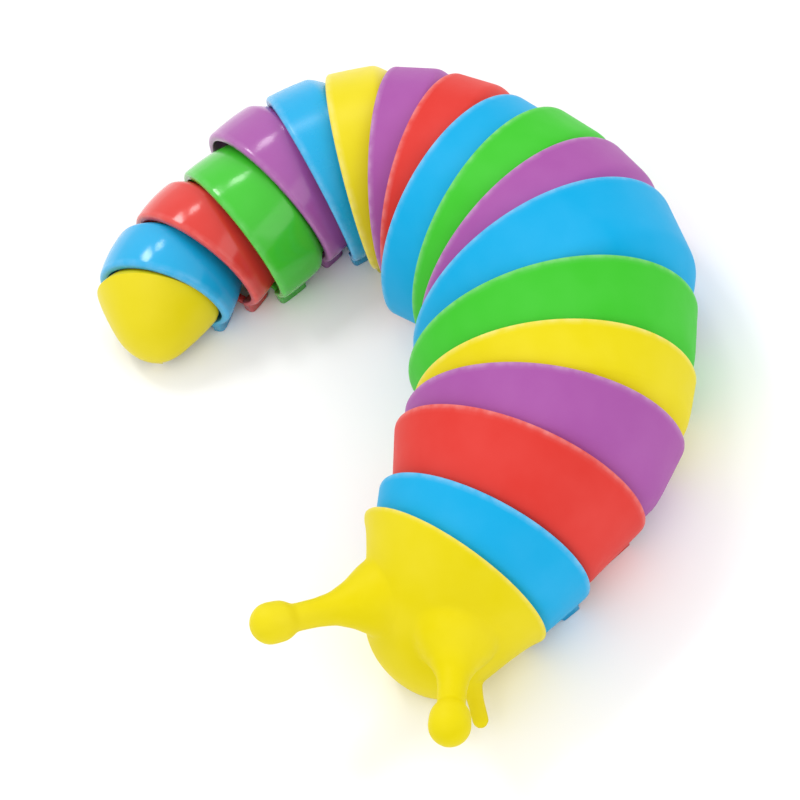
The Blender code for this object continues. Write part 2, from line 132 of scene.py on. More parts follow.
def lower_squash(k):
    """Lower half of section k: its depth over its half width."""
    return (centre_height(k) - EDGE_Z) / (RIMS[k] * math.sqrt(1.0 - BELLY_RATIO ** 2))


# ---------------------------------------------------------------- places
def link_frames():
    """World matrix of every link at rest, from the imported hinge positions."""
    pins = [Vector(joint["pos_m"]) for joint in frame["joints"]]
    ahead = Vector((math.cos(HEAD_HEADING), math.sin(HEAD_HEADING), 0.0))
    origins = [pins[0] + ahead * pitch(0) * MM] + pins
    headings = [HEAD_HEADING]
    for k in range(1, RINGS + 1):
        along = pins[k - 1] - pins[k]
        headings.append(math.atan2(along.y, along.x))
    headings.append(headings[-1] + TAIL_BEND)
    return [Matrix.Translation(origin) @ Matrix.Rotation(heading, 4, "Z")
            for origin, heading in zip(origins, headings)]


LINKS = link_frames()


def body_name(k):
    """CAD body of link k."""
    if k == 0:
        return "head"
    if k == RINGS + 1:
        return "tail"
    return "ring_%02d" % k


def place(obj, k):
    """Put an object into link k's frame and let it ride on that link's body."""
    obj.matrix_world = LINKS[k]
    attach(obj, body_name(k))


def mesh_object(name, bm, smooth=True):
    """Object from a bmesh drawn in millimetres."""
    bmesh.ops.scale(bm, vec=(MM, MM, MM), verts=bm.verts)
    mesh = bpy.data.meshes.new(name)
    bm.to_mesh(mesh)
    bm.free()
    for polygon in mesh.polygons:
        polygon.use_smooth = smooth
    obj = bpy.data.objects.new(name, mesh)
    bpy.context.scene.collection.objects.link(obj)
    return obj


# ---------------------------------------------------------------- ring shells
QUARTER_TURN = 0.5 * math.pi
ARCH_STEPS = 96
SKIN_STATIONS = 30
EDGE_STEPS = 5
INNER_ROUND = 0.3          # rounding of the rim's inner corner, as a share of its outer one
RIM_ROUND = 0.28
TAIL_RIM_ROUND = 0.5
FRONT_ROUND = 0.4
RIM_FADE = 0.5             # the rim's painted highlight fades out over this length
GLOSSY_FROM = 12           # rings from here to the tail have thicker, rounder rims
EDGE_START = 4.6           # where the lower edge starts to rise on a ring of EDGE_RADIUS
EDGE_RADIUS = 9.0
EDGE_RISE = 3.0
BLEND = 0.35               # softness, in mm, where a ring's barrel meets its nested front


def cone_radius(k, x):
    """Radius of ring k's tapering skin: its rim at the back, just under rim k - 1 in front."""
    reach = pitch(k - 1) + RIM_AHEAD
    front = RIMS[k - 1] - WALL - SHELL_GAP + SNUG
    share = min(1.0, max(0.0, (x - RIM_AHEAD) / (reach - RIM_AHEAD)))
    bulge = TAIL_BULGE * max(0.0, (k - BULGE_FROM) / (RINGS - BULGE_FROM))
    return RIMS[k] + (front - RIMS[k]) * share + 4.0 * bulge * share * (1.0 - share)


def ray_to_round(cos_a, sin_a, rise, radius, squash):
    """Distance along a ray to a section whose centre lies rise above the ray's start."""
    if radius <= 0.0:
        return 0.0
    scale = 1.0
    for _ in range(2):
        lean = sin_a / scale
        lift = -rise / scale
        square = cos_a ** 2 + lean ** 2
        half = lean * lift
        root = half * half - square * (lift * lift - radius * radius)
        reach = (-half + math.sqrt(max(root, 0.0))) / square
        below = reach * sin_a - rise < 0.0
        wanted = squash if below else 1.0
        if wanted == scale:
            break
        scale = wanted
    return reach


def soft_min(a, b, softness):
    """Smaller of two numbers, rounded where they cross."""
    gap = max(softness - abs(a - b), 0.0) / softness
    return min(a, b) - gap * gap * softness * 0.25


def shell_point(k, x, angle, inset):
    """Point of ring k's surface at station x, in the direction angle from its centre."""
    cos_a = math.cos(angle)
    sin_a = math.sin(angle)
    base = centre_height(k)
    own = ray_to_round(cos_a, sin_a, 0.0, cone_radius(k, x) - inset, lower_squash(k))
    nest = nest_radius(k, RIMS) + SNUG - inset
    slice_radius = math.sqrt(max(nest * nest - x * x, 0.01))
    rise = centre_height(k - 1) - base
    limit = ray_to_round(cos_a, sin_a, rise, slice_radius, lower_squash(k - 1))
    reach = soft_min(own, limit, BLEND)
    return Vector((x, reach * cos_a, base + reach * sin_a))


def ease(share):
    """Smooth step from 0 to 1."""
    share = min(1.0, max(0.0, share))
    return share * share * (3.0 - 2.0 * share)


def skirt_stop(k):
    """Station where ring k's side must end so the cross bar in front can swing past."""
    reach = pitch(k - 1) + RIM_AHEAD
    along = (BELLY_RATIO * RIMS[k] - reach * math.sin(SWING)) / math.cos(SWING)
    bar = reach * math.cos(SWING) - along * math.sin(SWING)
    return max(RIM_AHEAD + WING_LENGTH + SKIRT_COVER, bar - SKIRT_CLEAR)


def edge_height(k, x):
    """Height of the arch's lower edge at station x."""
    start = max(EDGE_START + 0.5 * (RIMS[k] - EDGE_RADIUS), skirt_stop(k) + SKIRT_STEP)
    return EDGE_Z + ease((x - start) / EDGE_RISE) * (FRONT_EDGE_Z - EDGE_Z)


def skirt_height(k, x):
    """Height the shell's side drops to at station x."""
    rise = ease((x - skirt_stop(k) + SKIRT_RISE) / SKIRT_RISE)
    return edge_height(k, x) - SKIRT_LIP - (EDGE_Z - SKIRT_LIP - SKIRT_Z) * (1.0 - rise)


def edge_angle(k, x, inset):
    """Direction from the centre to the lower edge at station x, on the left side."""
    low = -QUARTER_TURN
    high = QUARTER_TURN
    for _ in range(24):
        middle = 0.5 * (low + high)
        if shell_point(k, x, middle, inset).z < edge_height(k, x):
            low = middle
        else:
            high = middle
    return high


def front_station(k):
    """Station of a ring's front edge."""
    rim_angle = math.atan2(RIMS[k - 1] - WALL, pitch(k - 1) + RIM_AHEAD)
    return nest_radius(k, RIMS) * math.cos(rim_angle - SWING - OVERLAP)


def half_profile(k, round_rim):
    """(station, depth below the outer surface, painted rim highlight) from the rear rim to the
    front.
    """
    points = []
    for i in range(EDGE_STEPS, -1, -1):
        turn = QUARTER_TURN * i / EDGE_STEPS
        x = RIM_AHEAD + round_rim * (1.0 - math.sin(turn))
        points.append((x, round_rim * (1.0 - math.cos(turn)), 1.0))
    start = RIM_AHEAD + round_rim
    stop = front_station(k) - FRONT_ROUND
    for i in range(1, SKIN_STATIONS + 1):
        share = i / SKIN_STATIONS
        x = start + (stop - start) * share
        points.append((x, 0.0, max(0.0, 1.0 - (x - start) / RIM_FADE)))
    for i in (1, 2):
        turn = QUARTER_TURN * i / 2
        x = stop + FRONT_ROUND * math.sin(turn)
        points.append((x, FRONT_ROUND * (1.0 - math.cos(turn)), 0.0))
    return points


def ring_skin(bm, k, round_rim):
    """Fine arch of ring k in a bmesh, with its painted rim highlight on a vertex layer."""
    # painted highlight on the rims: 1 at the rear rim, fading out forwards
    highlight_layer = bm.verts.layers.float.new("rim")
    outer = []
    inner = []
    for x, depth, glow in half_profile(k, round_rim):
        for rows, inset in ((outer, depth), (inner, WALL - INNER_ROUND * depth)):
            start = edge_angle(k, x, inset)
            sweep = math.pi - 2.0 * start
            points = [shell_point(k, x, start + sweep * j / ARCH_STEPS, inset)
                      for j in range(ARCH_STEPS + 1)]
            foot = skirt_height(k, x)
            points.insert(0, Vector((x, points[0].y, foot)))
            points.append(Vector((x, points[-1].y, foot)))
            row = [bm.verts.new(point) for point in points]
            for vert in row:
                vert[highlight_layer] = glow
            rows.append(row)
    rows = outer + list(reversed(inner))
    count = len(rows)
    for i in range(count):
        ahead = rows[(i + 1) % count]
        for j in range(ARCH_STEPS + 2):
            bm.faces.new((rows[i][j], rows[i][j + 1], ahead[j + 1], ahead[j]))
    for side in (0, -1):
        for i in range(len(outer) - 1):
            quad = (outer[i][side], outer[i + 1][side], inner[i + 1][side], inner[i][side])
            bm.faces.new(quad)


# ---------------------------------------------------------------- materials
def linked(tree, kind, **values):
    """New node with its plain properties set."""
    node = tree.nodes.new(kind)
    for key, value in values.items():
        setattr(node, key, value)
    return node


def noise(tree, coordinates, scale, detail, roughness=0.5):
    """Noise texture over a coordinate output."""
    node = linked(tree, "ShaderNodeTexNoise")
    node.inputs["Scale"].default_value = scale
    node.inputs["Detail"].default_value = detail
    node.inputs["Roughness"].default_value = roughness
    tree.links.new(coordinates, node.inputs["Vector"])
    return node


def ramp(tree, source, low, high, from_low=0.3, from_high=0.7):
    """Map Range node from a noise output."""
    node = linked(tree, "ShaderNodeMapRange")
    node.inputs["From Min"].default_value = from_low
    node.inputs["From Max"].default_value = from_high
    node.inputs["To Min"].default_value = low
    node.inputs["To Max"].default_value = high
    tree.links.new(source, node.inputs["Value"])
    return node


def mix_colour(tree, factor, first, second):
    """Colour mix; first and second are colours or sockets."""
    node = linked(tree, "ShaderNodeMix", data_type="RGBA")
    for socket, value in ((node.inputs[6], first), (node.inputs[7], second)):
        if isinstance(value, bpy.types.NodeSocket):
            tree.links.new(value, socket)
        else:
            socket.default_value = (*value, 1.0)
    tree.links.new(factor, node.inputs[0])
    return node.outputs[2]


def tint(colour, amount):
    """Colour moved towards white (positive) or black (negative)."""
    if amount >= 0.0:
        return tuple(c + (1.0 - c) * amount for c in colour)
    return tuple(c * (1.0 + amount) for c in colour)


MOTTLE_SCALE = 90.0
# scale of the noise that breaks up the painted rim highlight
HIGHLIGHT_NOISE_SCALE = 700.0
GLOSS_SCALE = 260.0
PEEL_SCALE = 1500.0
PEEL_DEPTH = 0.0002
TAIL_GLOSS = 0.3           # the tail's share of the full gloss of the last rings
RIM_HIGHLIGHT_STRENGTH = 0.28            # how far the painted highlight on the rims goes towards white
SCATTER_RADIUS = (0.0012, 0.0010, 0.0008)


def rim_highlight_colour(tree, here, body, base, pale):
    """Body colour with a paler, uneven painted highlight along the rims, where light catches the
    rounded edge.
    """
    # painted highlight: the rims' colour is mixed towards white, broken up by noise
    rim = linked(tree, "ShaderNodeAttribute", attribute_name="rim")
    highlight_noise = noise(tree, here, HIGHLIGHT_NOISE_SCALE, 4.0)
    highlight_spread = ramp(tree, highlight_noise.outputs["Fac"], 0.15, 0.6)
    edge = linked(tree, "ShaderNodeMath", operation="MULTIPLY")
    tree.links.new(rim.outputs["Fac"], edge.inputs[0])
    tree.links.new(highlight_spread.outputs["Result"], edge.inputs[1])
    return mix_colour(tree, edge.outputs["Value"], body, tint(base, pale))


def orange_peel(tree, here):
    """Normal output of the fine ripple that moulded plastic has."""
    peel = noise(tree, here, PEEL_SCALE, 2.0)
    bump = linked(tree, "ShaderNodeBump")
    bump.inputs["Strength"].default_value = 0.04
    bump.inputs["Distance"].default_value = PEEL_DEPTH
    tree.links.new(peel.outputs["Fac"], bump.inputs["Height"])
    return bump.outputs["Normal"]


def plastic(name, colour, rough_low, rough_high, shine, pale=RIM_HIGHLIGHT_STRENGTH):
    """Moulded plastic: faint mottling, a painted highlight along the rims, uneven gloss and fine
    orange peel.
    """
    material = bpy.data.materials.new(name)
    material.use_nodes = True
    tree = material.node_tree
    shader = tree.nodes["Principled BSDF"]
    place_node = linked(tree, "ShaderNodeTexCoord")
    here = place_node.outputs["Object"]
    base = BASE_COLOURS[colour]
    cloud = noise(tree, here, MOTTLE_SCALE, 3.0)
    cloud_mix = ramp(tree, cloud.outputs["Fac"], 0.0, 1.0)
    body = mix_colour(tree, cloud_mix.outputs["Result"], tint(base, -0.05), tint(base, 0.02))
    # the base colour carries the painted rim highlight
    tree.links.new(rim_highlight_colour(tree, here, body, base, pale), shader.inputs["Base Color"])
    patch = noise(tree, here, GLOSS_SCALE, 5.0, 0.6)
    gloss = ramp(tree, patch.outputs["Fac"], rough_low, rough_high)
    tree.links.new(gloss.outputs["Result"], shader.inputs["Roughness"])
    tree.links.new(orange_peel(tree, here), shader.inputs["Normal"])
    shader.inputs["Specular IOR Level"].default_value = shine
    shader.inputs["Subsurface Weight"].default_value = 0.05
    shader.inputs["Subsurface Radius"].default_value = SCATTER_RADIUS
    shader.inputs["Subsurface Scale"].default_value = 1.0
    return material


def finish_of(k):
    """Low and high roughness, shine and painted rim highlight strength of link k: the tail end is
    glossier.
    """
    share = min(1.0, max(0.0, (k - BULGE_FROM) / 3.0)) if k <= RINGS else TAIL_GLOSS
    return (0.42 - 0.30 * share, 0.52 - 0.34 * share, 0.07 + 0.33 * share,
            RIM_HIGHLIGHT_STRENGTH - 0.18 * share)


# ---------------------------------------------------------------- belly chain of each ring
WING_TOP = 1.4
WING_LENGTH = 1.2
LINK_BOTTOM = 1.7
LINK_TOP = 3.0
EYE_BOTTOM = 3.4
EYE_TOP = 4.9
LINK_HALF_WIDTH = 1.5
BOSS_RADIUS = 2.0
EYE_RADIUS = 2.2
RISER_FRONT = 2.6
RISER_BACK = 3.35
SPINE_BACK = 0.7
PIN_RADIUS = 1.0
PIN_FIT = 0.1
PIN_FOOT = 1.75
HEAD_GAP = 0.15
PIN_HEAD_RADIUS = 1.8
PIN_HEAD_HEIGHT = 0.85
TAIL_PIN_RADIUS = 0.8
TAIL_FLANGE_RADIUS = 1.3
TAIL_EYE_RADIUS = 1.6
TAIL_BOSS_RADIUS = 1.5
BAR_ROUND = 0.18
BAR_INSET = 0.45           # the cross bar ends this far inside the shell's sides


def rounded_block(bm, low, high, edge=BAR_ROUND):
    """Box between two corners with rounded edges."""
    made = bmesh.ops.create_cube(bm, size=1.0)["verts"]
    for vert in made:
        for axis in range(3):
            vert.co[axis] = high[axis] if vert.co[axis] > 0.0 else low[axis]
    edges = {e for vert in made for e in vert.link_edges}
    bmesh.ops.bevel(bm, geom=list(edges), offset=edge, segments=2, affect="EDGES", profile=0.5)


def collar(bm, x, radius, hole, low, high, sides=40):
    """Upright ring round a hole, with rounded corners."""
    soft = BAR_ROUND
    outline = [(hole, low + soft), (hole + soft, low), (radius - soft, low), (radius, low + soft),
               (radius, high - soft), (radius - soft, high), (hole + soft, high),
               (hole, high - soft)]
    rows = []
    for r, z in outline:
        row = []
        for i in range(sides):
            turn = 2.0 * math.pi * i / sides
            row.append(bm.verts.new((x + r * math.cos(turn), r * math.sin(turn), z)))
        rows.append(row)
    for i, row in enumerate(rows):
        ahead = rows[(i + 1) % len(rows)]
        for j in range(sides):
            nxt = (j + 1) % sides
            bm.faces.new((row[j], row[nxt], ahead[nxt], ahead[j]))


def belly_chain(bm, k):
    """Cross bar, spine, boss, riser and eye under ring k."""
    front = RIM_AHEAD + WING_LENGTH
    half = shell_point(k, front, edge_angle(k, RIM_AHEAD, 0.0), 0.0).y - 0.05
    end = half - BAR_INSET
    rounded_block(bm, (RIM_AHEAD + BAR_INSET, -end, 0.0), (front, end, WING_TOP))
    width = LINK_HALF_WIDTH
    rounded_block(bm, (-SPINE_BACK, -width, 0.0), (RIM_AHEAD + 0.5, width, WING_TOP))
    rounded_block(bm, (-SPINE_BACK, -width, 0.5), (SPINE_BACK, width, PIN_FOOT), 0.05)
    collar(bm, 0.0, BOSS_RADIUS, PIN_RADIUS + PIN_FIT, LINK_BOTTOM, LINK_TOP)
    if k == RINGS:
        rounded_block(bm, (-TAIL_PITCH + 1.0, -1.2, LINK_BOTTOM), (-1.15, 1.2, LINK_TOP))
        collar(bm, -TAIL_PITCH, TAIL_BOSS_RADIUS, TAIL_PIN_RADIUS + PIN_FIT, LINK_BOTTOM, LINK_TOP)
    else:
        rear_eye(bm, k)


def rear_eye(bm, k):
    """Riser behind link k's boss and its eye round the next pin."""
    reach = pitch(k)
    width = LINK_HALF_WIDTH
    back = RISER_BACK + reach - PITCH
    rounded_block(bm, (-back, -width, LINK_BOTTOM), (-1.2, width, LINK_TOP))
    rounded_block(bm, (-back, -width, LINK_BOTTOM), (-RISER_FRONT, width, EYE_TOP))
    rounded_block(bm, (-reach + 1.2, -width, EYE_BOTTOM), (-RISER_FRONT, width, EYE_TOP))
    collar(bm, -reach, EYE_RADIUS, PIN_RADIUS + PIN_FIT, EYE_BOTTOM, EYE_TOP)


def build_ring(k):
    """One ring: fine arch and belly chain in one piece."""
    bm = bmesh.new()
    round_rim = RIM_ROUND if k < GLOSSY_FROM else TAIL_RIM_ROUND
    ring_skin(bm, k, round_rim)
    belly_chain(bm, k)
    bmesh.ops.recalc_face_normals(bm, faces=bm.faces)
    obj = mesh_object("ring_%02d_body" % k, bm)
    colour = RING_COLOURS[k - 1]
    obj.data.materials.append(plastic("ring_%02d_plastic" % k, colour, *finish_of(k)))
    place(obj, k)
    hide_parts("ring_%02d" % k)


def build_pin(k):
    """Fine headed hinge pin k."""
    body = min(k, RINGS)
    if k == RINGS + 1:
        profile = ((0.0, 0.1), (TAIL_FLANGE_RADIUS - 0.1, 0.1), (TAIL_FLANGE_RADIUS, 0.2),
                   (TAIL_FLANGE_RADIUS, 0.45), (TAIL_PIN_RADIUS, 0.45),
                   (TAIL_PIN_RADIUS, LINK_TOP), (0.0, LINK_TOP))
    else:
        under = EYE_TOP + HEAD_GAP
        top = under + PIN_HEAD_HEIGHT
        profile = ((0.0, PIN_FOOT + 0.05), (PIN_RADIUS - 0.15, PIN_FOOT + 0.05),
                   (PIN_RADIUS, PIN_FOOT + 0.2), (PIN_RADIUS, under), (PIN_HEAD_RADIUS, under),
                   (PIN_HEAD_RADIUS, top - 0.35), (PIN_HEAD_RADIUS - 0.15, top - 0.15),
                   (PIN_HEAD_RADIUS - 0.45, top), (0.0, top))
    bm = bmesh.new()
    verts = [bm.verts.new((r, 0.0, z)) for r, z in profile]
    edges = [bm.edges.new((a, b)) for a, b in zip(verts, verts[1:])]
    bmesh.ops.spin(bm, geom=verts + edges, cent=(0, 0, 0), axis=(0, 0, 1),
                   angle=2.0 * math.pi, steps=40, use_merge=True)
    bmesh.ops.remove_doubles(bm, verts=bm.verts, dist=1e-5)
    bmesh.ops.recalc_face_normals(bm, faces=bm.faces)
    name = "hinge_pin_%02d" % k
    obj = mesh_object(name + "_body", bm)
    obj.data.materials.append(plastic(name + "_plastic", "pin", 0.4, 0.5, 0.4))
    obj.matrix_world = LINKS[k]
    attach(obj, body_name(body))
    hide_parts(name)


# ---------------------------------------------------------------- solids by Boolean
def mesh_of(name, bm):
    """Mesh data from a bmesh drawn in millimetres."""
    bmesh.ops.recalc_face_normals(bm, faces=bm.faces)
    bmesh.ops.scale(bm, vec=(MM, MM, MM), verts=bm.verts)
    mesh = bpy.data.meshes.new(name)
    bm.to_mesh(mesh)
    bm.free()
    return mesh


def box(name, low, high):
    """Mesh of a plain box."""
    bm = bmesh.new()
    bmesh.ops.create_cube(bm, size=1.0)
    for vert in bm.verts:
        for axis in range(3):
            vert.co[axis] = high[axis] if vert.co[axis] > 0.0 else low[axis]
    return mesh_of(name, bm)


def disc(name, x, radius, low, high, sides=48):
    """Mesh of an upright cylinder about (x, 0)."""
    bm = bmesh.new()
    bmesh.ops.create_cone(bm, cap_ends=True, segments=sides, radius1=radius, radius2=radius,
                          depth=high - low)
    bmesh.ops.translate(bm, vec=(x, 0.0, 0.5 * (low + high)), verts=bm.verts)
    return mesh_of(name, bm)


def settled(obj):
    """The object's mesh with its modifiers worked in; the modifiers are gone afterwards."""
    bpy.context.view_layer.update()
    done = obj.evaluated_get(bpy.context.evaluated_depsgraph_get())
    mesh = bpy.data.meshes.new_from_object(done)
    obj.modifiers.clear()
    obj.data = mesh


def carve(obj, steps, solver):
    """Cut or join each (operation, mesh) in turn."""
    tools = []
    for operation, mesh in steps:
        tool = bpy.data.objects.new(mesh.name, mesh)
        bpy.context.scene.collection.objects.link(tool)
        modifier = obj.modifiers.new(mesh.name, "BOOLEAN")
        modifier.operation = operation
        modifier.solver = solver
        modifier.object = tool
        tools.append(tool)
    settled(obj)
    for tool in tools:
        bpy.data.objects.remove(tool, do_unlink=True)


def write_rim_highlight(mesh, x, reach):
    """Write the painted rim highlight: 1 at station x, fading out over reach ahead of it."""
    layer = mesh.attributes.new("rim", "FLOAT", "POINT")
    for vert, item in zip(mesh.vertices, layer.data):
        item.value = max(0.0, 1.0 - abs(vert.co.x / MM - x) / reach)


def dress(obj, k, colour, node):
    """Shade, place and hand over a finished piece."""
    for polygon in obj.data.polygons:
        polygon.use_smooth = True
    obj.data.set_sharp_from_angle(angle=math.radians(32.0))
    obj.data.materials.clear()
    obj.data.materials.append(plastic(node + "_plastic", colour, *finish_of(k)))
    place(obj, k)
    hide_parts(node)


def section_loop(centre, half_width, up, down, steps):
    """Closed section across X: round above its centre, a different depth below."""
    points = []
    for i in range(steps):
        turn = 2.0 * math.pi * i / steps
        height = up if math.sin(turn) > 0.0 else down
        points.append(Vector((centre[0], centre[1] + half_width * math.cos(turn),
                              centre[2] + height * math.sin(turn))))
    return points


def loft(bm, loops):
    """Closed solid through a list of loops."""
    rows = [[bm.verts.new(point) for point in loop] for loop in loops]
    count = len(rows[0])
    bm.faces.new(rows[0])
    bm.faces.new(list(reversed(rows[-1])))
    for row, ahead in zip(rows, rows[1:]):
        for j in range(count):
            nxt = (j + 1) % count
            bm.faces.new((row[j], ahead[j], ahead[nxt], row[nxt]))


# ---------------------------------------------------------------- head
SKULL_LENGTH = 13.6
SKULL_SPARE = 1.5          # cut off again behind the rim
SKULL_NARROWING = 7.0
BROW_FALL = 14.0
SNOUT_DROP = 5.0
STALK_ROOT = Vector((9.8, 5.6, 12.2))
STALK_TIPS = {1: Vector((21.0, 13.2, 15.4)), -1: Vector((21.5, -13.4, 17.8))}
STALK_SHARES = (0.0, 0.15, 0.3, 0.45, 0.6, 0.78, 0.9, 1.0)
STALK_RADII = (5.6, 4.6, 3.1, 2.15, 1.85, 1.8, 1.8, 1.95)
EYE_BALL = 2.7
FEELER_ROOT = Vector((9.5, 5.0, 5.4))
FEELER_TIPS = {1: Vector((14.9, 10.6, 2.6)), -1: Vector((12.6, -5.0, 1.6))}
FEELER_SHARES = (0.0, 0.35, 0.7, 1.0)
FEELER_RADII = (2.6, 1.5, 1.1, 1.1)
HEAD_VOXEL = 0.26
HEAD_SOFTENING = 22


def skull_loops(steps=96, stations=40):
    """Sections of the skull from behind its rear rim to the snout."""
    loops = []
    base = centre_height(0)
    for i in range(-1, stations):
        along = max(0.0, i / (stations - 1))
        run = math.sin(QUARTER_TURN * along)
        x = RIM_AHEAD + SKULL_LENGTH * run - (SKULL_SPARE if i < 0 else 0.0)
        close = math.sqrt(max(0.0, 1.0 - run ** 8))
        width = (RIMS[0] - SKULL_NARROWING * run ** 0.75) * close
        middle = base * (1.0 - run) + SNOUT_DROP * run
        crown = middle + (base + RIMS[0] - BROW_FALL * run ** 1.12 - middle) * close
        down = (middle + 2.0) * max(close, 0.15)
        up = max(0.6, crown - middle)
        loops.append(section_loop((x, 0.0, middle), max(width, 0.6), up, down, steps))
    return loops


def tube(bm, points, radii, sides=32):
    """Closed round tube through points, with a radius at each."""
    loops = []
    for i, point in enumerate(points):
        ahead = points[min(i + 1, len(points) - 1)]
        behind = points[max(i - 1, 0)]
        along = (ahead - behind).normalized()
        side = along.cross(Vector((0.0, 0.0, 1.0))).normalized()
        over = side.cross(along)
        turns = [2.0 * math.pi * j / sides for j in range(sides)]
        loops.append([point + radii[i] * (side * math.cos(t) + over * math.sin(t))
                      for t in turns])
    loft(bm, loops)


def ball(bm, centre, radius):
    """Round ball."""
    bmesh.ops.create_uvsphere(bm, u_segments=40, v_segments=24, radius=radius,
                              matrix=Matrix.Translation(centre))


def head_form():
    """Joined form of the head before it is blended."""
    bm = bmesh.new()
    loft(bm, skull_loops())
    for side in (1, -1):
        flip = Vector((1.0, side, 1.0))
        root = STALK_ROOT * flip
        tip = STALK_TIPS[side]
        tube(bm, [root.lerp(tip, share) for share in STALK_SHARES], STALK_RADII)
        ball(bm, tip, EYE_BALL)
        ball(bm, tip.lerp(root, 0.07), EYE_BALL - 0.05)
        root = FEELER_ROOT * flip
        tip = FEELER_TIPS[side]
        tube(bm, [root.lerp(tip, share) for share in FEELER_SHARES], FEELER_RADII)
        ball(bm, tip, FEELER_RADII[-1])
    return mesh_of("head_form", bm)


def nest_cutter():
    """Hollow behind the head that ring 1 swings in."""
    bm = bmesh.new()
    radius = nest_radius(1, RIMS) + SHELL_GAP
    bmesh.ops.create_uvsphere(bm, u_segments=96, v_segments=64, radius=radius)
    for vert in bm.verts:
        if vert.co.z < 0.0:
            vert.co.z *= lower_squash(0)
        vert.co.x -= pitch(0)
        vert.co.z += centre_height(0)
    return mesh_of("head_hollow", bm)


def head_cuts():
    """What is cut from the head: its flat underside and back, ring 1's room and the eye's."""
    return [
        box("head_floor", (-20.0, -30.0, -20.0), (40.0, 30.0, 0.0)),
        box("head_back", (-20.0, -30.0, -5.0), (RIM_AHEAD, 30.0, 40.0)),
        nest_cutter(),
        box("head_bay", (0.0, -4.0, EYE_BOTTOM - 0.5), (10.0, 4.0, 9.0)),
    ]


def head_joins():
    """The head's tongue, riser, arm and eye round the first pin, and their root."""
    half = LINK_HALF_WIDTH
    reach = pitch(0)
    back = RISER_BACK + reach - PITCH
    return [
        box("head_tongue", (-back, -half, LINK_BOTTOM), (0.0, half, LINK_TOP)),
        box("head_riser", (-back, -half, LINK_BOTTOM), (-RISER_FRONT, half, EYE_TOP)),
        box("head_arm", (-reach, -half, EYE_BOTTOM), (-RISER_FRONT, half, EYE_TOP)),
        disc("head_eye", -reach, EYE_RADIUS, EYE_BOTTOM, EYE_TOP),
        box("head_root", (-RISER_FRONT, -half, LINK_BOTTOM), (RIM_AHEAD + 8.5, half, LINK_TOP)),
    ]


def build_head():
    """Head with blended stalks and feelers, its rear hollow and the first eye."""
    obj = bpy.data.objects.new("head_body", head_form())
    bpy.context.scene.collection.objects.link(obj)
    remesh = obj.modifiers.new("blend", "REMESH")
    remesh.mode = "VOXEL"
    remesh.voxel_size = HEAD_VOXEL * MM
    smooth = obj.modifiers.new("soften", "SMOOTH")
    smooth.factor = 0.5
    smooth.iterations = HEAD_SOFTENING
    settled(obj)
    steps = [("DIFFERENCE", mesh) for mesh in head_cuts()]
    steps += [("UNION", mesh) for mesh in head_joins()]
    hole = disc("head_eye_hole", -pitch(0), PIN_RADIUS + PIN_FIT, EYE_BOTTOM - 0.3, EYE_TOP + 0.5)
    steps.append(("DIFFERENCE", hole))
    carve(obj, steps, "EXACT")
    # painted highlight along the head's rear rim
    write_rim_highlight(obj.data, RIM_AHEAD, RIM_FADE)
    dress(obj, 0, "yellow", "head")


# ---------------------------------------------------------------- tail
TAIL_LENGTH = 7.9
TAIL_TIP_RADIUS = 3.1
TAIL_TIP_Z = 3.7
TAIL_BAY_BACK = 1.64
TAIL_KEEL_Z = 0.62
TAIL_WALL = 1.0


def tail_loops(inset, steps=96):
    """Sections of the tail from its nested front to the tip, in pin 18's frame."""
    reach = TAIL_PITCH + RIM_AHEAD
    nest = math.hypot(reach, RIMS[RINGS] - WALL) - SHELL_GAP + SNUG - inset
    rim_angle = math.atan2(RIMS[RINGS] - WALL, reach)
    front = nest * math.cos(rim_angle - SWING - OVERLAP)
    base = centre_height(RINGS)
    squash = lower_squash(RINGS)
    loops = []
    for i in range(16):
        x = front + (reach - 0.6 - front) * i / 15
        radius = math.sqrt(nest ** 2 - x ** 2)
        loops.append(section_loop((x, 0.0, base), radius, radius, radius * squash, steps))
    start = math.sqrt(nest ** 2 - (reach - 0.6) ** 2)
    tip = TAIL_TIP_RADIUS - 0.6 * inset
    length = TAIL_LENGTH - 0.6 - 1.1 * inset
    for i in range(1, 33):
        run = math.sin(QUARTER_TURN * i / 32)
        x = reach - 0.6 - length * run
        close = math.sqrt(max(0.02, 1.0 - run ** 9))
        radius = (start + (tip - start) * run ** 1.15) * close
        middle = base + (TAIL_TIP_Z - base) * run
        down = max(radius * squash * 1.15, (middle - TAIL_KEEL_Z - inset) * close)
        loops.append(section_loop((x, 0.0, middle), radius, radius, down, steps))
    return loops


def tail_hollow():
    """Inside of the tail's shell, open at the front."""
    bm = bmesh.new()
    loops = tail_loops(TAIL_WALL)
    loops.insert(0, [point + Vector((3.0, 0.0, 0.0)) for point in loops[0]])
    loft(bm, loops)
    return mesh_of("tail_hollow", bm)


def tail_cuts():
    """What is cut from the tail, so that ring 17's belly and the hinges can swing under it."""
    top = FRONT_EDGE_Z
    return [
        tail_hollow(),
        box("tail_floor", (-20.0, -20.0, -20.0), (20.0, 20.0, 0.6)),
        box("tail_belly", (-TAIL_BAY_BACK, -20.0, -20.0), (20.0, 20.0, EDGE_Z)),
        box("tail_front", (5.2, -20.0, -5.0), (20.0, 20.0, EDGE_Z + 0.7)),
        box("tail_channel", (4.3, -5.7, -5.0), (20.0, 5.7, top)),
        box("tail_channel_wide", (5.2, -6.7, -5.0), (20.0, 6.7, top)),
        box("tail_front_high", (6.6, -20.0, -5.0), (20.0, 20.0, top)),
        box("tail_bay", (-TAIL_BAY_BACK, -2.1, -5.0), (20.0, 2.1, LINK_TOP + 0.4)),
    ]


def tail_joins():
    """The tail's heel, its belly plate and its eye round the last pin."""
    return [
        box("tail_heel", (-1.7, -0.8, 0.66), (-1.58, 0.8, EDGE_Z + 0.9)),
        box("tail_plate", (-1.62, -0.75, 0.64), (-0.6, 0.75, WING_TOP - 0.02)),
        disc("tail_eye", 0.0, TAIL_EYE_RADIUS, 0.6, WING_TOP),
    ]


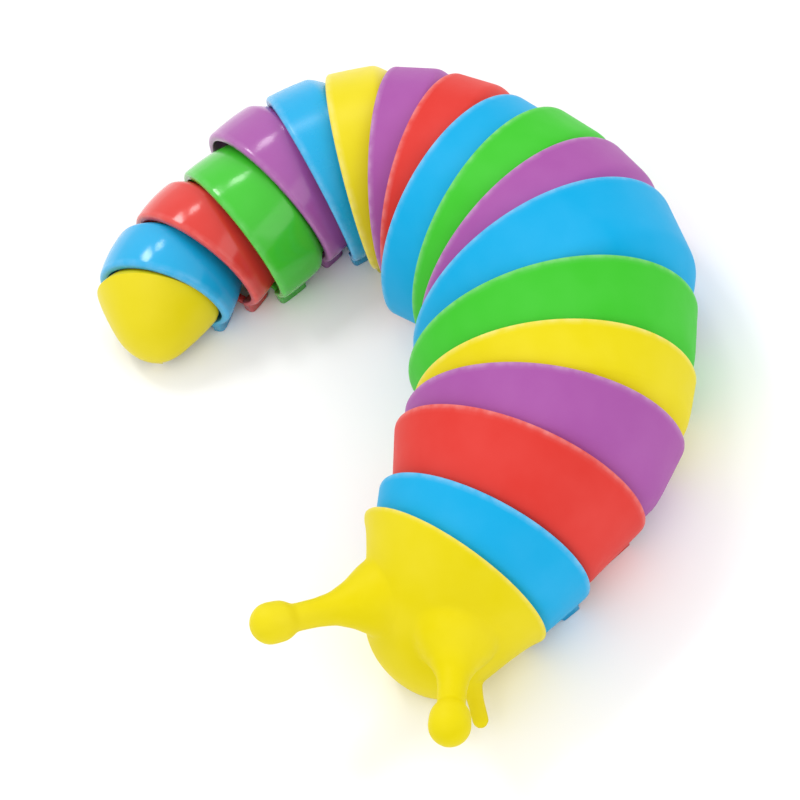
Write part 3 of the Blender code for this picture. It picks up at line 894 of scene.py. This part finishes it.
def build_tail():
    """Hollow tail cone with its heel, belly plate and hinge eye."""
    bm = bmesh.new()
    loft(bm, tail_loops(0.0))
    obj = bpy.data.objects.new("tail_body", mesh_of("tail_form", bm))
    bpy.context.scene.collection.objects.link(obj)
    carve(obj, [("DIFFERENCE", mesh) for mesh in tail_cuts()], "MANIFOLD")
    steps = [("UNION", mesh) for mesh in tail_joins()]
    hole = disc("tail_eye_hole", 0.0, TAIL_PIN_RADIUS + PIN_FIT, 0.2, WING_TOP + 0.5)
    steps.append(("DIFFERENCE", hole))
    carve(obj, steps, "MANIFOLD")
    dress(obj, RINGS + 1, "yellow", "tail")


# ---------------------------------------------------------------- stage
CAMERA_DISTANCE = 500.0
CAMERA_LENS = 170.1
CAMERA_TURN = math.radians(22.6)
CAMERA_HEIGHT = math.radians(57.7)
CAMERA_ROLL = math.radians(23.0)
AIM = Vector((-18.8, -26.6, 0.0))      # middle of the picture, in the head's frame


def add_camera():
    """Camera high above the slug's left side, far away with a long lens."""
    data = bpy.data.cameras.new("camera")
    data.lens = CAMERA_LENS
    data.sensor_width = 36.0
    camera = bpy.data.objects.new("camera", data)
    bpy.context.scene.collection.objects.link(camera)
    level = Vector((math.cos(CAMERA_TURN), math.sin(CAMERA_TURN), 0.0))
    ahead = Vector((-level.y, level.x, 0.0))
    rise = ahead * math.sin(CAMERA_HEIGHT) + Vector((0.0, 0.0, math.cos(CAMERA_HEIGHT)))
    right = level * math.cos(CAMERA_ROLL) - rise * math.sin(CAMERA_ROLL)
    up = level * math.sin(CAMERA_ROLL) + rise * math.cos(CAMERA_ROLL)
    back = right.cross(up)
    matrix = Matrix((right, up, back)).transposed().to_4x4()
    matrix.translation = LINKS[0] @ (AIM * MM) + back * CAMERA_DISTANCE * MM
    camera.matrix_world = matrix
    bpy.context.scene.camera = camera


def add_floor():
    """Pale seamless floor."""
    bm = bmesh.new()
    bmesh.ops.create_grid(bm, x_segments=8, y_segments=8, size=1500.0)
    floor = mesh_object("floor", bm)
    floor.location.z = -0.0002
    material = bpy.data.materials.new("floor_paper")
    material.use_nodes = True
    tree = material.node_tree
    shader = tree.nodes["Principled BSDF"]
    coords = linked(tree, "ShaderNodeTexCoord")
    grain = noise(tree, coords.outputs["Object"], 30.0, 3.0)
    value = ramp(tree, grain.outputs["Fac"], 0.0, 1.0)
    colour = mix_colour(tree, value.outputs["Result"], (0.93, 0.93, 0.93), (0.95, 0.95, 0.95))
    tree.links.new(colour, shader.inputs["Base Color"])
    shader.inputs["Roughness"].default_value = 0.9
    floor.data.materials.append(material)


def soft_light(name, direction, distance, size, power, tone=(1.0, 1.0, 1.0)):
    """Area light that looks at the slug from a direction."""
    data = bpy.data.lights.new(name, "AREA")
    data.shape = "RECTANGLE"
    data.size = size[0]
    data.size_y = size[1]
    data.energy = power
    data.color = tone
    light = bpy.data.objects.new(name, data)
    bpy.context.scene.collection.objects.link(light)
    direction = Vector(direction).normalized()
    light.location = direction * distance
    light.rotation_mode = "QUATERNION"
    light.rotation_quaternion = direction.to_track_quat("Z", "Y")


def add_studio():
    """Even white room with a few soft boxes."""
    world = bpy.data.worlds.new("studio")
    bpy.context.scene.world = world
    world.use_nodes = True
    background = world.node_tree.nodes["Background"]
    background.inputs["Color"].default_value = (1.0, 1.0, 1.0, 1.0)
    background.inputs["Strength"].default_value = 1.0
    soft_light("key", (-0.5, 0.6, 1.0), 0.7, (0.12, 0.16), 0.9)
    soft_light("fill", (0.9, -0.3, 0.8), 0.8, (0.5, 0.4), 0.8)
    soft_light("front", (-0.3, -0.8, 0.9), 0.8, (0.4, 0.4), 0.6)
    soft_light("key_low", (-0.2, 0.75, 1.0), 0.7, (0.1, 0.1), 0.35)
    bpy.context.scene.view_settings.view_transform = "Standard"


def main():
    """Dress the slug and set the studio."""
    for k in range(1, RINGS + 1):
        build_ring(k)
    for k in range(1, RINGS + 2):
        build_pin(k)
    build_head()
    build_tail()
    add_camera()
    add_floor()
    add_studio()


main()
